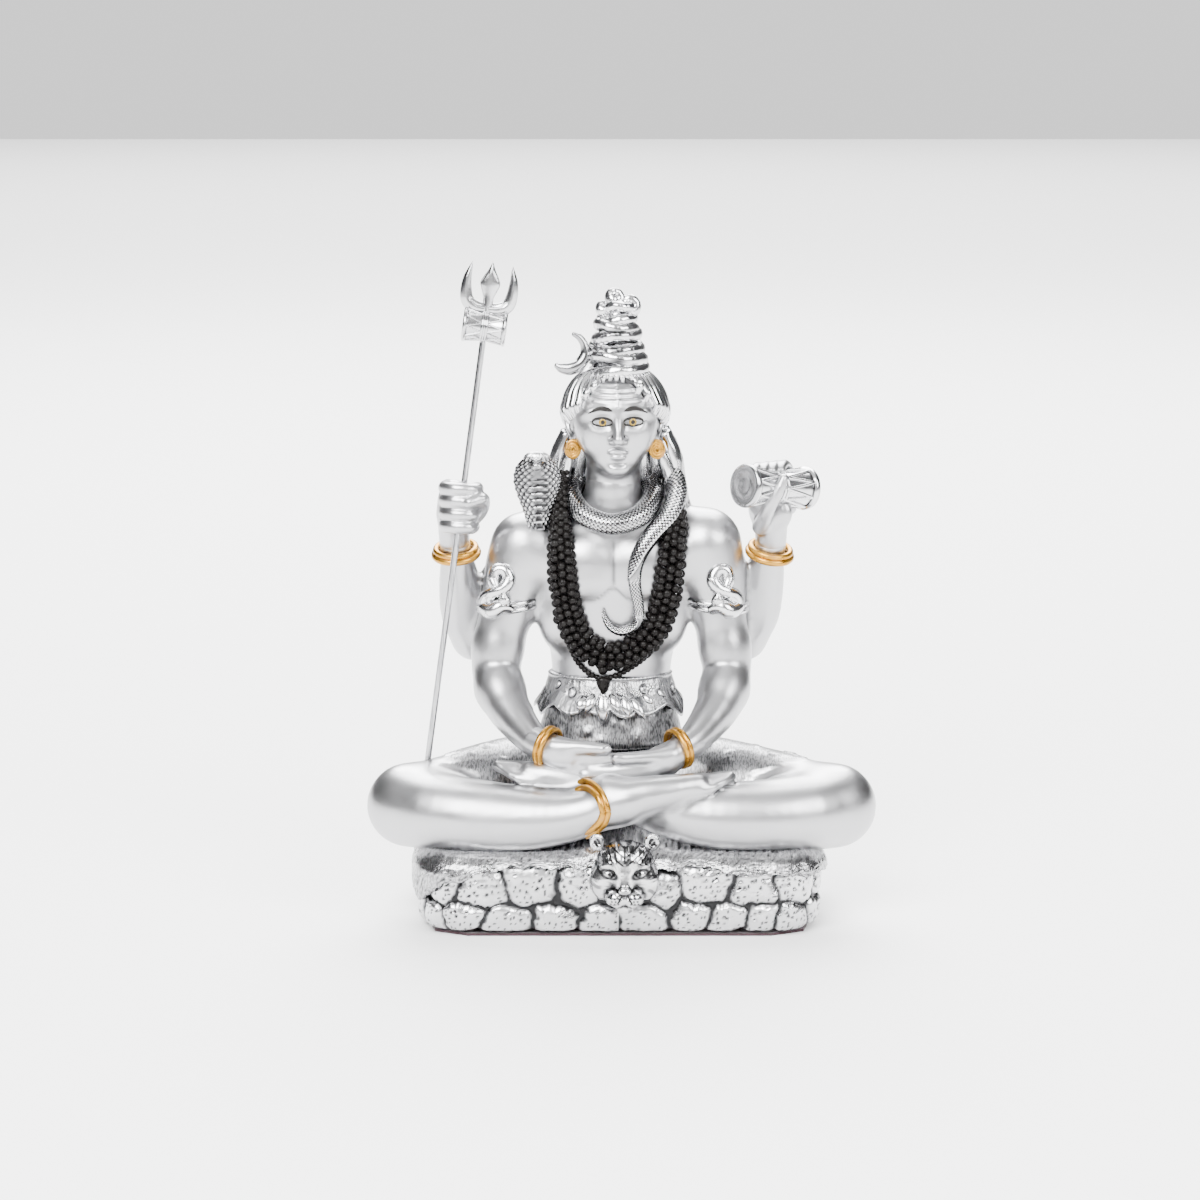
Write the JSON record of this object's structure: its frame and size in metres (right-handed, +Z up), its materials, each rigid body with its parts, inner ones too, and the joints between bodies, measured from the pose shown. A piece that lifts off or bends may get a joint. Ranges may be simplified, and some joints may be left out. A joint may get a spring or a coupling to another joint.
{
  "type": "shiva figure",
  "caption": "Cross-legged many-armed figure on a rock seat with a tiger skin, holding a trident and a small drum; a silvered shelf ornament.",
  "frame": {"origin": "centre of the pad's underside, on the surface that the piece stands on", "axes": "+Z up, -Y towards the viewer whom the figure faces, +X to that viewer's right"},
  "size_m": [0.1588, 0.0885, 0.2103],
  "materials": {
    "silver_plate": "satin silver plate, bright on worn high spots and dark in the cut lines",
    "steel_rod": "polished round wire",
    "felt": "short dark felt"
  },
  "bodies": {
    "root": {"figure": "silver_plate", "trident_shaft": "steel_rod", "trident_head": "silver_plate", "base_pad": "felt"}
  },
  "joints": []
}
